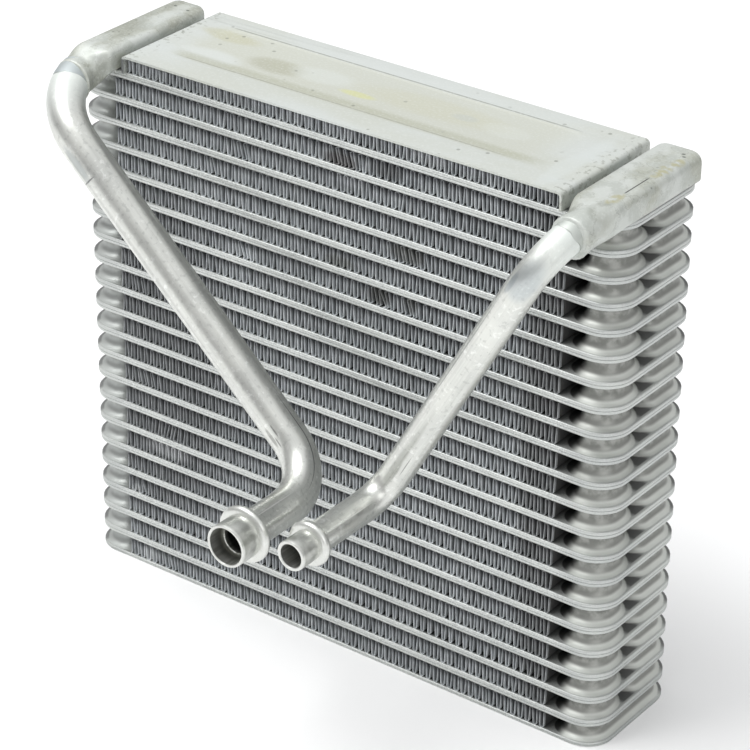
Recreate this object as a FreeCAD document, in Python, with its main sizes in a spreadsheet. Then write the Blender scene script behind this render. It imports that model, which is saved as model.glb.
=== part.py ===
"""Drawn-cup evaporator core of a vehicle air conditioner, in brazed aluminium.

Flat tubes, each a brazed pair of stamped plates, are stacked with folded fin strips between them.
Cups drawn in the plates' ends stand on each other and form two tanks at each end. Sheet end plates
close the stack, and two header ducts on top lead into pipes that end in beaded spigots in front.
The origin is the middle of the underside. X runs along the tubes and the pipes are at -Y.
"""
import FreeCAD
import Part
import math
import os
import types

import Sketcher
from FreeCAD import Placement, Rotation, Vector

SIZES = {
    # stack of tubes and fins
    "tube_count": 21,
    "core_width": 266.0,
    "core_depth": 59.0,
    "tube_thick": 3.0,
    "plate_corner": 12.0,
    "corner_flats": 2,
    "fin_height": 8.0,
    "fin_setback_left": 21.0,
    "fin_setback_right": 24.5,
    "fin_inset": 0.5,
    "fin_sheet": 0.4,
    "fin_folds": 6,
    # cups that are drawn in the ends of the plates
    "cup_length": 13.0,
    "cup_depth": 21.5,
    "cup_margin": 2.5,
    "cup_corner": 5.5,
    # end plates
    "bottom_sheet": 1.8,
    "top_sheet": 1.0,
    "top_gap": 6.6,
    "top_clearance_left": 2.95,
    "top_clearance_right": 6.45,
    "top_overhang": 1.0,
    "top_fin_clearance": 1.0,
    "flange_bend": 2.0,
    "trough_left": 14.5,
    "trough_right": 19.5,
    "trough_front": 9.0,
    "trough_back": 9.0,
    "trough_recess": 0.6,
    "trough_slope": 9.0,
    "trough_corner": 5.0,
    # suction header duct and pipe
    "suction_duct_width": 17.5,
    "suction_duct_height": 9.5,
    "suction_duct_inset": 14.8,
    "suction_duct_proud": 3.0,
    "suction_duct_length": 59.5,
    "suction_pipe_radius": 7.95,
    "suction_axis_shift": -4.4,
    "suction_axis_drop": 5.7,
    "suction_stand_off": 31.5,
    "suction_reach": 92.0,
    "suction_end_side": 19.2,
    "suction_end_height": 99.9,
    "suction_top_bend": 27.5,
    "suction_low_bend": 22.3,
    "suction_spigot_radius": 9.0,
    "suction_bead_radius": 12.0,
    "suction_mouth_radius": 7.75,
    "suction_mouth_depth": 20.0,
    # liquid header duct and pipe
    "liquid_duct_width": 20.5,
    "liquid_duct_height": 11.0,
    "liquid_duct_inset": 9.8,
    "liquid_duct_proud": 4.0,
    "liquid_duct_length": 58.5,
    "liquid_pipe_radius": 6.45,
    "liquid_axis_shift": 0.1,
    "liquid_axis_drop": 2.2,
    "liquid_stand_off": 33.5,
    "liquid_reach": 91.5,
    "liquid_end_side": 50.5,
    "liquid_end_height": 107.3,
    "liquid_top_bend": 22.0,
    "liquid_low_bend": 13.1,
    "liquid_spigot_radius": 6.4,
    "liquid_bead_radius": 9.4,
    "liquid_mouth_radius": 4.9,
    "liquid_mouth_depth": 20.0,
    # shared by both ducts and both pipes
    "duct_corner": 4.4,
    "duct_foot": 1.5,
    "duct_end_corner": 4.0,
    "neck_turn": 22.0,
    "neck_wall": 1.6,
    "bead_setback": 12.0,
    "bead_width": 3.6,
}

document = FreeCAD.newDocument("EvaporatorCore")
sheet = document.addObject("Spreadsheet::Sheet", "Sizes")


class Size(float):
    """A number together with the expression that gives it from the sheet."""

    def __new__(cls, number, words):
        made = super().__new__(cls, number)
        made.words = words
        return made

    def __add__(self, other):
        return Size(float(self) + float(other), f"({self.words} + {words(other)})")

    def __radd__(self, other):
        return Size(float(other) + float(self), f"({words(other)} + {self.words})")

    def __sub__(self, other):
        return Size(float(self) - float(other), f"({self.words} - {words(other)})")

    def __rsub__(self, other):
        return Size(float(other) - float(self), f"({words(other)} - {self.words})")

    def __mul__(self, other):
        return Size(float(self) * float(other), f"({self.words} * {words(other)})")

    __rmul__ = __mul__

    def __truediv__(self, other):
        return Size(float(self) / float(other), f"({self.words} / {words(other)})")

    def __neg__(self):
        return Size(-float(self), f"(-{self.words})")


def words(number):
    return number.words if isinstance(number, Size) else repr(number)


def sine(angle):
    return Size(math.sin(math.radians(angle)), f"sin({words(angle)} * 1 deg)")


def cosine(angle):
    return Size(math.cos(math.radians(angle)), f"cos({words(angle)} * 1 deg)")


def slant_angle(drop, run):
    return Size(math.degrees(math.atan2(drop, run)), f"atan2({words(drop)}; {words(run)})")


def slant_length(drop, run):
    return Size(math.hypot(drop, run), f"hypot({words(drop)}; {words(run)})")


for row, (name, number) in enumerate(SIZES.items(), start=1):
    sheet.set(f"A{row}", name)
    sheet.set(f"B{row}", str(number))
    sheet.setAlias(f"B{row}", name)
document.recompute()
size = types.SimpleNamespace(**{name: Size(number, f"Sizes.{name}") for name, number in SIZES.items()})


def bind(item, **properties):
    """Binds properties to sizes. Two underscores in a name stand for a dot."""
    for name, value in properties.items():
        item.setExpression(name.replace("__", "."), words(value))


# Sketches are drawn at their true size, and each point and radius is then bound to the sheet.


def plane(body, role):
    return next(item for item in body.Origin.OriginFeatures if item.Role == role)


def sketch_on(body, name, role, offset=0.0, side=0.0, axis=Vector(0, 0, 1), turn=0.0):
    """A sketch on an origin plane, moved along its normal and its X, and turned about an axis."""
    sketch = body.newObject("Sketcher::SketchObject", name)
    sketch.AttachmentSupport = (plane(body, role), [""])
    sketch.MapMode = "FlatFace"
    sketch.AttachmentOffset = Placement(Vector(side, 0, offset), Rotation(axis, float(turn)))
    if isinstance(offset, Size):
        bind(sketch, AttachmentOffset__Base__z=offset)
    if isinstance(side, Size):
        bind(sketch, AttachmentOffset__Base__x=side)
    if isinstance(turn, Size):
        bind(sketch, AttachmentOffset__Rotation__Angle=turn)
    return sketch


def fix(sketch, kind, value, *where):
    index = sketch.addConstraint(Sketcher.Constraint(kind, *where, float(value)))
    if isinstance(value, Size):
        sketch.setExpression(f"Constraints[{index}]", value.words)


def pin(sketch, edge, end, point):
    fix(sketch, "DistanceX", point[0], -1, 1, edge, end)
    fix(sketch, "DistanceY", point[1], -1, 1, edge, end)


def outline(sketch, points):
    """A closed outline of straight lines through the points."""
    edges = []
    for start, stop in zip(points, points[1:] + points[:1]):
        line = Part.LineSegment(Vector(*start, 0), Vector(*stop, 0))
        edges.append(sketch.addGeometry(line, False))
        pin(sketch, edges[-1], 1, start)
    for edge, following in zip(edges, edges[1:] + edges[:1]):
        sketch.addConstraint(Sketcher.Constraint("Coincident", edge, 2, following, 1))


def flat_cornered_rectangle(sketch, half_width, half_depth, corner, flats):
    """A rectangle about the origin, with each corner's arc drawn as a few flats."""
    points = []
    for quarter, (side, end) in enumerate([(1, 1), (-1, 1), (-1, -1), (1, -1)]):
        for step in range(flats + 1):
            angle = math.pi / 2 * (quarter + step / flats)
            points.append(
                (
                    side * (half_width - corner) + corner * round(math.cos(angle), 6),
                    end * (half_depth - corner) + corner * round(math.sin(angle), 6),
                )
            )
    outline(sketch, points)


def rectangle(sketch, left, low, right, high):
    outline(sketch, [(left, low), (right, low), (right, high), (left, high)])


def cut_cornered_rectangle(sketch, left, low, right, high, cuts):
    """A rectangle with bevelled corners. The cuts go round from the lower left corner."""
    cut_1, cut_2, cut_3, cut_4 = cuts
    points = [
        (left, low + cut_1),
        (left + cut_1, low),
        (right - cut_2, low),
        (right, low + cut_2),
        (right, high - cut_3),
        (right - cut_3, high),
        (left + cut_4, high),
        (left, high - cut_4),
    ]
    kept = [points[0]]
    for point in points[1:]:
        if math.dist(point, kept[-1]) > 0 and math.dist(point, kept[0]) > 0:
            kept.append(point)
    outline(sketch, kept)


def circle(sketch, radius):
    edge = sketch.addGeometry(Part.Circle(Vector(), Vector(0, 0, 1), float(radius)), False)
    sketch.addConstraint(Sketcher.Constraint("Coincident", edge, 3, -1, 1))
    fix(sketch, "Radius", radius, edge)


def new_body(label):
    body = document.addObject("PartDesign::Body", label)
    body.Label = label
    return body


def pad(body, name, sketch, length, **settings):
    feature = body.newObject("PartDesign::Pad", name)
    feature.Profile = sketch
    for key, value in settings.items():
        setattr(feature, key, value)
    bind(feature, Length=length)
    document.recompute()
    return feature


def edges_along(feature, axis, chosen):
    """Names of the straight edges that run along an axis, and whose middle is a chosen place."""
    names = []
    for index, edge in enumerate(feature.Shape.Edges, start=1):
        run = edge.Vertexes[-1].Point - edge.Vertexes[0].Point
        if run.Length > 0 and abs(abs(run.dot(axis)) - run.Length) < 1e-6 and chosen(edge.CenterOfMass):
            names.append(f"Edge{index}")
    return names


def fillet(body, name, base, edges, radius):
    feature = body.newObject("PartDesign::Fillet", name)
    feature.Base = (base, edges)
    bind(feature, Radius=radius)
    document.recompute()
    return feature


def chamfer(body, name, base, edges, width):
    feature = body.newObject("PartDesign::Chamfer", name)
    feature.Base = (base, edges)
    bind(feature, Size=width)
    document.recompute()
    return feature


# Heights in the stack. The lowest fin strip stands on the bottom plate.

UP = Vector(0, 0, 1)
ALONG_Y = Vector(0, 1, 0)
pitch = size.fin_height + size.tube_thick
stack_top = size.bottom_sheet + size.tube_count * pitch
front = size.core_depth / 2
side = size.core_width / 2
cup_outer_x = side - size.cup_margin
cup_outer_y = front - size.cup_margin

# Middles of the two ducts on the top tube, and the end plate that fits between them.

suction_middle = size.suction_duct_inset - side
liquid_middle = side - size.liquid_duct_inset
top_left = suction_middle + size.suction_duct_width / 2 + size.top_clearance_left
top_right = liquid_middle - size.liquid_duct_width / 2 - size.top_clearance_right


def plate_blank(body, thickness):
    """A flat plate of the outline that all the stamped plates share."""
    sketch = sketch_on(body, "PlateOutline", "XY_Plane")
    flats = int(size.corner_flats)
    flat_cornered_rectangle(sketch, side, front, size.plate_corner, flats)
    return pad(body, "Plate", sketch, thickness)


def tube(number):
    """One flat tube, with four cups drawn up to the tube above. The top tube carries the ducts."""
    body = new_body(f"tube_{number:02d}")
    plate_blank(body, size.tube_thick)
    if number > 1:
        drawn_cups(body)
    bind(body, Placement__Base__z=stack_top - size.tube_thick - (number - 1) * pitch)
    return body


def drawn_cups(body):
    """A pair of cups at each end, with a valley between them that is open to the outside."""
    inner_x = cup_outer_x - size.cup_length
    inner_y = cup_outer_y - size.cup_depth
    sketch = sketch_on(body, "CupOutlines", "XY_Plane", offset=size.tube_thick)
    cut = size.cup_corner
    cut_cornered_rectangle(sketch, -cup_outer_x, -cup_outer_y, -inner_x, -inner_y, (cut, 0, 0, 0))
    cut_cornered_rectangle(sketch, inner_x, -cup_outer_y, cup_outer_x, -inner_y, (0, cut, 0, 0))
    cut_cornered_rectangle(sketch, inner_x, inner_y, cup_outer_x, cup_outer_y, (0, 0, cut, 0))
    cut_cornered_rectangle(sketch, -cup_outer_x, inner_y, -inner_x, cup_outer_y, (0, 0, 0, cut))
    pad(body, "Cups", sketch, size.fin_height)


def fin_strip(number):
    """One strip of folded sheet that fills the space over a tube or over the bottom plate."""
    body = new_body(f"fin_{number:02d}")
    left, right, height = size.fin_setback_left - side, side - size.fin_setback_right, size.fin_height
    if number == 1:
        left = top_left + size.top_sheet + size.top_fin_clearance
        right = top_right - size.top_sheet - size.top_fin_clearance
        height = size.top_gap
    fold = (right - left) / size.fin_folds
    sketch = sketch_on(body, "Fold", "XZ_Plane")
    outline(
        sketch,
        [
            (left, 0.0),
            (left + fold / 2, height - size.fin_sheet),
            (left + fold, 0.0),
            (left + fold, size.fin_sheet),
            (left + fold / 2, height),
            (left, size.fin_sheet),
        ],
    )
    first = pad(body, "FirstFold", sketch, size.core_depth - 2 * size.fin_inset, Midplane=True)
    pattern = body.newObject("PartDesign::LinearPattern", "Folds")
    pattern.Originals = [first]
    pattern.Direction = (sketch, ["H_Axis"])
    bind(pattern, Length=right - left - fold, Occurrences=size.fin_folds)
    body.Tip = pattern
    bind(body, Placement__Base__z=stack_top - (number - 1) * pitch)
    document.recompute()
    return body


def bottom_end_plate():
    """The stamped plate under the stack, with a raised form at each end up to the lowest tube."""
    body = new_body("bottom_end_plate")
    plate_blank(body, size.bottom_sheet)
    inner_x = cup_outer_x - size.cup_length
    sketch = sketch_on(body, "EndForms", "XY_Plane", offset=size.bottom_sheet)
    corner = size.cup_corner
    low, high = -cup_outer_y, cup_outer_y
    cut_cornered_rectangle(sketch, -cup_outer_x, low, -inner_x, high, (corner, 0, 0, corner))
    cut_cornered_rectangle(sketch, inner_x, low, cup_outer_x, high, (0, corner, corner, 0))
    pad(body, "Forms", sketch, size.fin_height)
    return body


def top_end_plate():
    """The sheet over the top fin strip: a flange bent down at each end, and a shallow trough."""
    body = new_body("top_end_plate")
    height = size.top_gap + size.top_sheet
    sketch = sketch_on(body, "Channel", "XZ_Plane")
    outline(
        sketch,
        [
            (top_left, 0.0),
            (top_left + size.top_sheet, 0.0),
            (top_left + size.top_sheet, size.top_gap),
            (top_right - size.top_sheet, size.top_gap),
            (top_right - size.top_sheet, 0.0),
            (top_right, 0.0),
            (top_right, height),
            (top_left, height),
        ],
    )
    channel = pad(body, "Sheet", sketch, size.core_depth + 2 * size.top_overhang, Midplane=True)

    def at_outer_bend(middle):
        return middle.z > size.top_gap + size.top_sheet / 2

    bends = fillet(
        body, "FlangeBends", channel, edges_along(channel, ALONG_Y, at_outer_bend), size.flange_bend
    )
    rim = sketch_on(body, "TroughRim", "XY_Plane", offset=height)
    left, right = top_left + size.trough_left, top_right - size.trough_right
    low, high = -front + size.trough_front, front - size.trough_back
    corners = (size.trough_corner,) * 4
    cut_cornered_rectangle(rim, left, low, right, high, corners)
    floor = sketch_on(body, "TroughFloor", "XY_Plane", offset=height - size.trough_recess)
    steep = size.trough_recess
    low += size.trough_slope
    cut_cornered_rectangle(floor, left + steep, low, right - steep, high - steep, corners)
    trough = body.newObject("PartDesign::SubtractiveLoft", "Trough")
    trough.Profile = rim
    trough.Sections = [floor]
    trough.Ruled = True
    bind(body, Placement__Base__z=stack_top)
    document.recompute()
    return body


class PipeRun:
    """Sizes of one pipe. Its centre line lies in one plane, which holds Y and the slanting run."""

    def __init__(self, kind, duct_middle):
        def own(name):
            return getattr(size, f"{kind}_{name}")

        self.own = own
        self.kind = kind
        self.radius = own("pipe_radius")
        self.top_bend = own("top_bend")
        self.low_bend = own("low_bend")
        self.start_x = duct_middle + own("axis_shift")
        self.start_z = stack_top + own("duct_height") / 2 - own("axis_drop")
        run = own("end_side") - self.start_x
        drop = self.start_z - own("end_height")
        self.turn = slant_angle(drop, run)
        self.slant = slant_length(drop, run)
        self.lead = own("stand_off") - self.top_bend

    def place(self, item):
        """Puts an object in the pipe's frame: X down the slanting run, Y as in the core."""
        item.Placement = Placement(Vector(), Rotation(ALONG_Y, float(self.turn)))
        bind(
            item,
            Placement__Base__x=self.start_x,
            Placement__Base__y=-front,
            Placement__Base__z=self.start_z,
            Placement__Rotation__Angle=self.turn,
        )


def header_duct(pipe):
    """A duct on the top tube whose neck turns down into a collar, where the pipe is brazed in."""
    body = new_body(f"{pipe.kind}_header")
    own = pipe.own
    left = -own("axis_shift") - own("duct_width") / 2
    right = -own("axis_shift") + own("duct_width") / 2
    low = own("axis_drop") - own("duct_height") / 2
    high = own("axis_drop") + own("duct_height") / 2
    section = sketch_on(body, "DuctSection", "XZ_Plane", offset=own("duct_proud"), turn=pipe.turn)
    rectangle(section, left, low, right, high)
    duct = pad(body, "Duct", section, own("duct_length"), Reversed=True)
    top = Rotation(ALONG_Y, -float(pipe.turn)).multVec(UP)
    ends = edges_along(duct, top, lambda middle: middle.y > 0)
    ended = chamfer(body, "FarEnd", duct, ends, size.duct_end_corner)

    def above_middle(middle):
        return middle.dot(top) > own("axis_drop")

    upper = edges_along(ended, ALONG_Y, above_middle)
    rounded = fillet(body, "UpperEdges", ended, upper, size.duct_corner)
    lower = edges_along(rounded, ALONG_Y, lambda middle: middle.dot(top) < low + size.duct_foot)
    chamfer(body, "LowerEdges", rounded, lower, size.duct_foot)

    mouth_x = pipe.top_bend * (1 - cosine(size.neck_turn))
    mouth_y = -(pipe.lead + pipe.top_bend * sine(size.neck_turn))
    root = sketch_on(body, "NeckRoot", "XZ_Plane", offset=own("duct_proud"))
    circle(root, pipe.radius + size.neck_wall)
    reach = 2 * pipe.radius
    pad(body, "Neck", root, reach - mouth_y - own("duct_proud"))
    across_x = reach * cosine(size.neck_turn)
    across_y = reach * sine(size.neck_turn)
    waste = sketch_on(body, "NeckMouth", "XY_Plane")
    outline(
        waste,
        [
            (mouth_x - across_x, mouth_y - across_y),
            (mouth_x - across_x, mouth_y - 2 * reach),
            (mouth_x + across_x, mouth_y - 2 * reach),
            (mouth_x + across_x, mouth_y + across_y),
        ],
    )
    cut = body.newObject("PartDesign::Pocket", "NeckCut")
    cut.Profile = waste
    cut.Type = "ThroughAll"
    cut.Midplane = True
    pipe.place(body)
    document.recompute()
    return body


def part_of_pipe(kind, name, **properties):
    item = document.addObject(kind, name)
    bind(item, **properties)
    return item


def pipe(run):
    """A pipe of two bends with a slanting run between, and a beaded spigot at its open end."""
    own = run.own
    bend_end = -(own("stand_off") + run.low_bend)
    top = part_of_pipe(
        "Part::Torus", "TopBend", Radius1=run.top_bend, Radius2=run.radius, Angle3=90 - size.neck_turn
    )
    top.Placement = Placement(Vector(), Rotation(UP, 200))
    bind(
        top,
        Placement__Base__x=run.top_bend,
        Placement__Base__y=-run.lead,
        Placement__Rotation__Angle=180 + size.neck_turn,
    )
    straight = part_of_pipe(
        "Part::Cylinder", "Slant", Radius=run.radius, Height=run.slant - run.top_bend - run.low_bend
    )
    straight.Placement = Placement(Vector(), Rotation(ALONG_Y, 90))
    bind(straight, Placement__Base__x=run.top_bend, Placement__Base__y=-own("stand_off"))
    low = part_of_pipe("Part::Torus", "LowBend", Radius1=run.low_bend, Radius2=run.radius)
    low.Angle3 = 90
    bind(low, Placement__Base__x=run.slant - run.low_bend, Placement__Base__y=bend_end)

    rim = -own("reach")
    bead = rim + size.bead_setback
    profile = document.addObject("Sketcher::SketchObject", "EndProfile")
    across = [
        (0.0, bend_end),
        (run.radius, bend_end),
        (run.radius, bead + size.bead_width / 2),
        (own("bead_radius"), bead + size.bead_width / 2),
        (own("bead_radius"), bead - size.bead_width / 2),
        (own("spigot_radius"), bead - size.bead_width / 2),
        (own("spigot_radius"), rim),
        (own("mouth_radius"), rim),
        (own("mouth_radius"), rim + own("mouth_depth")),
        (0.0, rim + own("mouth_depth")),
    ]
    outline(profile, [(run.slant - radius, along) for radius, along in across])
    end = document.addObject("Part::Revolution", "End")
    end.Source = profile
    end.Axis = ALONG_Y
    end.Solid = True
    bind(end, Base__x=run.slant)

    whole = document.addObject("Part::MultiFuse", f"{run.kind}_pipe")
    whole.Shapes = [top, straight, low, end]
    run.place(whole)
    document.recompute()
    return whole


pieces = [tube(number) for number in range(1, int(size.tube_count) + 1)]
pieces += [fin_strip(number) for number in range(1, int(size.tube_count) + 2)]
pieces += [bottom_end_plate(), top_end_plate()]
for run in (PipeRun("suction", suction_middle), PipeRun("liquid", liquid_middle)):
    pieces += [header_duct(run), pipe(run)]

document.recompute()
for item in document.Objects:
    if "Invalid" in item.State or "Error" in item.State:
        raise SystemExit(f"{item.Label} could not be worked out")
for piece in pieces:
    if piece.Shape.isNull() or not piece.Shape.isValid() or len(piece.Shape.Solids) != 1:
        raise SystemExit(f"{piece.Label} is not one sound solid")

os.makedirs("parts", exist_ok=True)
for piece in pieces:
    piece.Shape.exportStep(os.path.join("parts", f"{piece.Label}.step"))
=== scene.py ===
"""The looks of a drawn-cup evaporator core, in brazed aluminium."""
import math
import random

import bmesh
import bpy
from mathutils import Euler, Matrix, Vector


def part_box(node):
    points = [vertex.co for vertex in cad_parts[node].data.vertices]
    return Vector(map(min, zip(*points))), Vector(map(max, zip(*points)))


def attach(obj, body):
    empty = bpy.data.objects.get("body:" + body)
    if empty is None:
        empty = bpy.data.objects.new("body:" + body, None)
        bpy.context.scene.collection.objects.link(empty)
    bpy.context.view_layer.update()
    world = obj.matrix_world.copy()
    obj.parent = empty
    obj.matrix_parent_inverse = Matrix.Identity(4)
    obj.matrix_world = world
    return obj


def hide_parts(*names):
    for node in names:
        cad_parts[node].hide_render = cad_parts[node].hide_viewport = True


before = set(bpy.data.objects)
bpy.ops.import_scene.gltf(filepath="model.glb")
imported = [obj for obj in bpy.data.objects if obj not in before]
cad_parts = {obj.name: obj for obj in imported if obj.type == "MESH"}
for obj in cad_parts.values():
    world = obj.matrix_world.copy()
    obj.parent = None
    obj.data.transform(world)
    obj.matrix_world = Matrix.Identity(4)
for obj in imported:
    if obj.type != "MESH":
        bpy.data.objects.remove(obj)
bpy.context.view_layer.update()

# Studio: a pale room, a large soft light from above and to the left, a weaker one from the right,
# and the camera where the photograph was taken from.

LOOKS_AT = Vector((0.01205, -0.01636, 0.12706))
CAMERA_DISTANCE = 1.2086
CAMERA_RIGHT_OF_FRONT = 36.354
CAMERA_ABOVE = 28.559
CAMERA_ROLL = 0.628
CAMERA_LENS = 143.57
LIT_PLACE = Vector((0, 0, 0.12))

turn = Euler(
    (math.radians(90 - CAMERA_ABOVE), 0, math.radians(CAMERA_RIGHT_OF_FRONT)), "XYZ"
).to_matrix()
camera = bpy.data.objects.new("camera", bpy.data.cameras.new("camera"))
camera.data.lens = CAMERA_LENS
camera.data.clip_end = 20
roll = Matrix.Rotation(math.radians(CAMERA_ROLL), 3, "Z")
camera.matrix_world = Matrix.Translation(LOOKS_AT + turn @ Vector((0, 0, CAMERA_DISTANCE))) @ (
    turn @ roll
).to_4x4()
bpy.context.scene.collection.objects.link(camera)
bpy.context.scene.camera = camera


def soft_light(name, place, size, power):
    """A square area light that points at the middle of the core."""
    light = bpy.data.lights.new(name, "AREA")
    light.size = size
    light.energy = power
    item = bpy.data.objects.new(name, light)
    facing = (LIT_PLACE - Vector(place)).to_track_quat("-Z", "Y").to_matrix().to_4x4()
    item.matrix_world = Matrix.Translation(place) @ facing
    bpy.context.scene.collection.objects.link(item)


soft_light("top_light", place=(-0.6, -0.55, 1.9), size=1.1, power=27)
soft_light("right_light", place=(1.6, -0.9, 0.8), size=1.2, power=6)

room = bpy.data.worlds.new("room")
room.use_nodes = True
shades = room.node_tree.nodes.new("ShaderNodeValToRGB")
shades.color_ramp.elements[0].color = (0.22, 0.22, 0.22, 1)
shades.color_ramp.elements[1].color = (0.92, 0.93, 0.94, 1)
middle = shades.color_ramp.elements.new(0.35)
middle.color = (0.52, 0.52, 0.52, 1)
direction = room.node_tree.nodes.new("ShaderNodeTexCoord")
height = room.node_tree.nodes.new("ShaderNodeSeparateXYZ")
room.node_tree.links.new(direction.outputs["Generated"], height.inputs["Vector"])
room.node_tree.links.new(height.outputs["Z"], shades.inputs["Fac"])
background = room.node_tree.nodes["Background"]
room.node_tree.links.new(shades.outputs["Color"], background.inputs["Color"])
bpy.context.scene.world = room
bpy.context.scene.view_settings.view_transform = "Standard"


# Tube plates: each flat tube is two stamped plates, brazed rim to rim. Cups drawn in their ends
# stand on the shelf behind the rim and meet the tube above. Satin aluminium, grey with flux, with
# painted shade in the gaps and valleys, up the cup walls and along the rims, and a painted highlight
# on the cups' feet.

MILLIMETRES = 1000
SHARP_ANGLE = 35
PLATE_CORNER = 12.0
CORNER_SEGMENTS = 8
RIM_ROUND = 0.45
SEAM_DEPTH = 0.3
SEAM_HEIGHT = 0.2
CUP_INSET = 4.2
CUP_LENGTH = 14.0
CUP_CORNERS = {"outer": 8.8, "inner": 4.6}
CUP_VALLEY_ENDS = {-1: (-5.2, 8.8), 1: (0.6, 5.0)}
CUP_FOOT_RADIUS = 4.5
CUP_FOOT_SLOPE = 13
CUP_CROWN_RADIUS = 2.4
CUP_CROWN_SLOPE = 10
CUP_INNER_SLOPE = 3.0
CUP_SLOPE_STARTS = 0.4
FIRST_TUBE_LOW = 9.8
STACK_STEP = 11.0


class Amount:
    """A shader socket that takes part in sums."""

    def __init__(self, finish, socket):
        self.finish = finish
        self.socket = socket

    def sum(self, operation, *values):
        return self.finish.node("ShaderNodeMath", {"operation": operation}, *values)

    def __add__(self, other):
        return self.sum("ADD", self, other)

    __radd__ = __add__

    def __sub__(self, other):
        return self.sum("SUBTRACT", self, other)

    def __rsub__(self, other):
        return self.sum("SUBTRACT", other, self)

    def __mul__(self, other):
        return self.sum("MULTIPLY", self, other)

    __rmul__ = __mul__

    def __mod__(self, step):
        return self.sum("FLOORED_MODULO", self, step)

    def __abs__(self):
        return self.sum("ABSOLUTE", self)

    def ease(self, low, high):
        """0 below low, 1 above high, and a smooth rise between them."""
        settings = {"interpolation_type": "SMOOTHSTEP"}
        return self.finish.node("ShaderNodeMapRange", settings, self, low, high, 0.0, 1.0)

    def fade(self, low, high):
        """1 below low, 0 above high, and a smooth fall between them."""
        return 1 - self.ease(low, high)

    def between(self, low, full, fading, high):
        """A rise from low to full, and a fall from fading to high."""
        return self.ease(low, full) * self.fade(fading, high)

    def near(self, middle, full, gone):
        """1 up to a distance from the middle, fading to 0 at a longer one."""
        return abs(self - middle).fade(full, gone)


class Finish:
    """A material with its main shader, and one method for every other node."""

    def __init__(self, name, metallic, roughness, color):
        self.material = bpy.data.materials.new(name)
        self.material.use_nodes = True
        self.tree = self.material.node_tree
        self.shader = self.tree.nodes["Principled BSDF"]
        self.set("Metallic", metallic)
        self.set("Roughness", roughness)
        self.set("Base Color", color)
        self.place = self.node("ShaderNodeTexCoord", output="Object")

    def node(self, kind, settings=None, *values, output=0, **named):
        """A node with its settings, then its inputs by order or by name. Gives one output."""
        item = self.tree.nodes.new(kind)
        for key, value in (settings or {}).items():
            setattr(item, key, value)
        for key, value in [*enumerate(values), *named.items()]:
            self.feed(item.inputs[key], value)
        return Amount(self, item.outputs[output])

    def feed(self, socket, value):
        """Links or sets a socket. None leaves it alone."""
        if isinstance(value, Amount):
            self.tree.links.new(value.socket, socket)
        elif value is not None:
            socket.default_value = (*value, 1.0) if socket.type == "RGBA" else value

    def set(self, name, value):
        self.feed(self.shader.inputs[name], value)

    def mix(self, factor, first, second):
        """One colour turning into another. The colours' sockets are the mix node's last but two."""
        unused = [None] * 5
        settings = {"data_type": "RGBA"}
        return self.node("ShaderNodeMix", settings, factor, *unused, first, second, output=2)

    def noise(self, scale, detail=2.0, stretch=(1, 1, 1), place=None):
        """Cloudy values round 0.5. Scale is in lumps per metre."""
        place = self.node("ShaderNodeMapping", None, place or self.place, Scale=stretch)
        return self.node("ShaderNodeTexNoise", None, Vector=place, Scale=scale, Detail=detail)

    def cells(self, scale):
        """The distance from the nearest of many scattered points."""
        settings = {"feature": "F1"}
        return self.node("ShaderNodeTexVoronoi", settings, Vector=self.place, Scale=scale)

    def axis(self, index):
        """A coordinate in millimetres."""
        return self.node("ShaderNodeSeparateXYZ", None, self.place, output=index) * MILLIMETRES

    def spot(self, first, second, middle, size):
        """1 within an oval round a place on two axes, fading to 0 outside it."""
        across = (first - middle[0]) * (1 / size[0])
        up = (second - middle[1]) * (1 / size[1])
        return (across * across + up * up).fade(0.25, 1.3)

    def bump(self, height, distance):
        normal = self.node("ShaderNodeBump", Strength=0.5, Distance=distance, Height=height)
        self.set("Normal", normal)


satin = Finish("brazed_plate_aluminium", 0.6, 0.42, (0.62, 0.63, 0.62))
grain = satin.noise(1500, detail=3)
cloud = satin.noise(35, detail=3)
mottle = satin.noise(300, detail=4)
along, across, height = (satin.axis(index) for index in range(3))
level = (height - FIRST_TUBE_LOW) % STACK_STEP
at_end = abs(along).ease(109.0, 118.0)
at_right = along.ease(-20.0, 20.0)
lip = satin.mix(cloud.ease(0.35, 0.7), (0.47, 0.49, 0.48), (0.56, 0.58, 0.56))
lip = satin.mix(grain.ease(0.3, 0.75) * (1 - 0.7 * at_end), lip, (0.7, 0.72, 0.7))
# Cup walls: a painted highlight at the foot, painted shade growing up the wall with mottling, and a
# painted shadow under the rim above.
wall = satin.mix(cloud.ease(0.35, 0.7), (0.66, 0.68, 0.64), (0.8, 0.82, 0.78))
wall = satin.mix(level.ease(3.8, 4.8), wall, (0.35, 0.355, 0.335))
wall = satin.mix(level.ease(4.5, 7.5) * mottle.ease(0.35, 0.65), wall, (0.2, 0.205, 0.19))
wall = satin.mix(level.ease(8.4, 10.4), wall, (0.1, 0.1, 0.095))
shade = abs(along).fade(112.5, 117.5) * at_right
wall = satin.mix(shade * 0.95, wall, (0.03, 0.03, 0.03))
# Painted shade over the left-end cups' lower walls, dimming their painted foot highlight.
left_end_shade = along.fade(-112.0, -108.0) * level.fade(6.5, 9.5)
wall = satin.mix(left_end_shade * 0.75, wall, (0.44, 0.46, 0.45))
inside = abs(across).fade(27.6, 28.9)
tone = satin.mix(level.ease(2.9, 3.2), lip, wall)
# Painted shade on the shelf under the fin strips, between their bends.
tone = satin.mix(inside * abs(along).fade(106.0, 112.0) * 0.9, tone, (0.05, 0.05, 0.05))
# Painted shade in the valley between each end's two cups.
valley_shade = across.near(-3.5, 2.5, 6.0) * level.fade(3.05, 3.3) * inside
valley_shade = valley_shade * abs(along).fade(131.4, 132.2) * height.ease(5.0, 8.0)
tone = satin.mix(valley_shade * 0.85, tone, (0.1, 0.1, 0.1))
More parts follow.
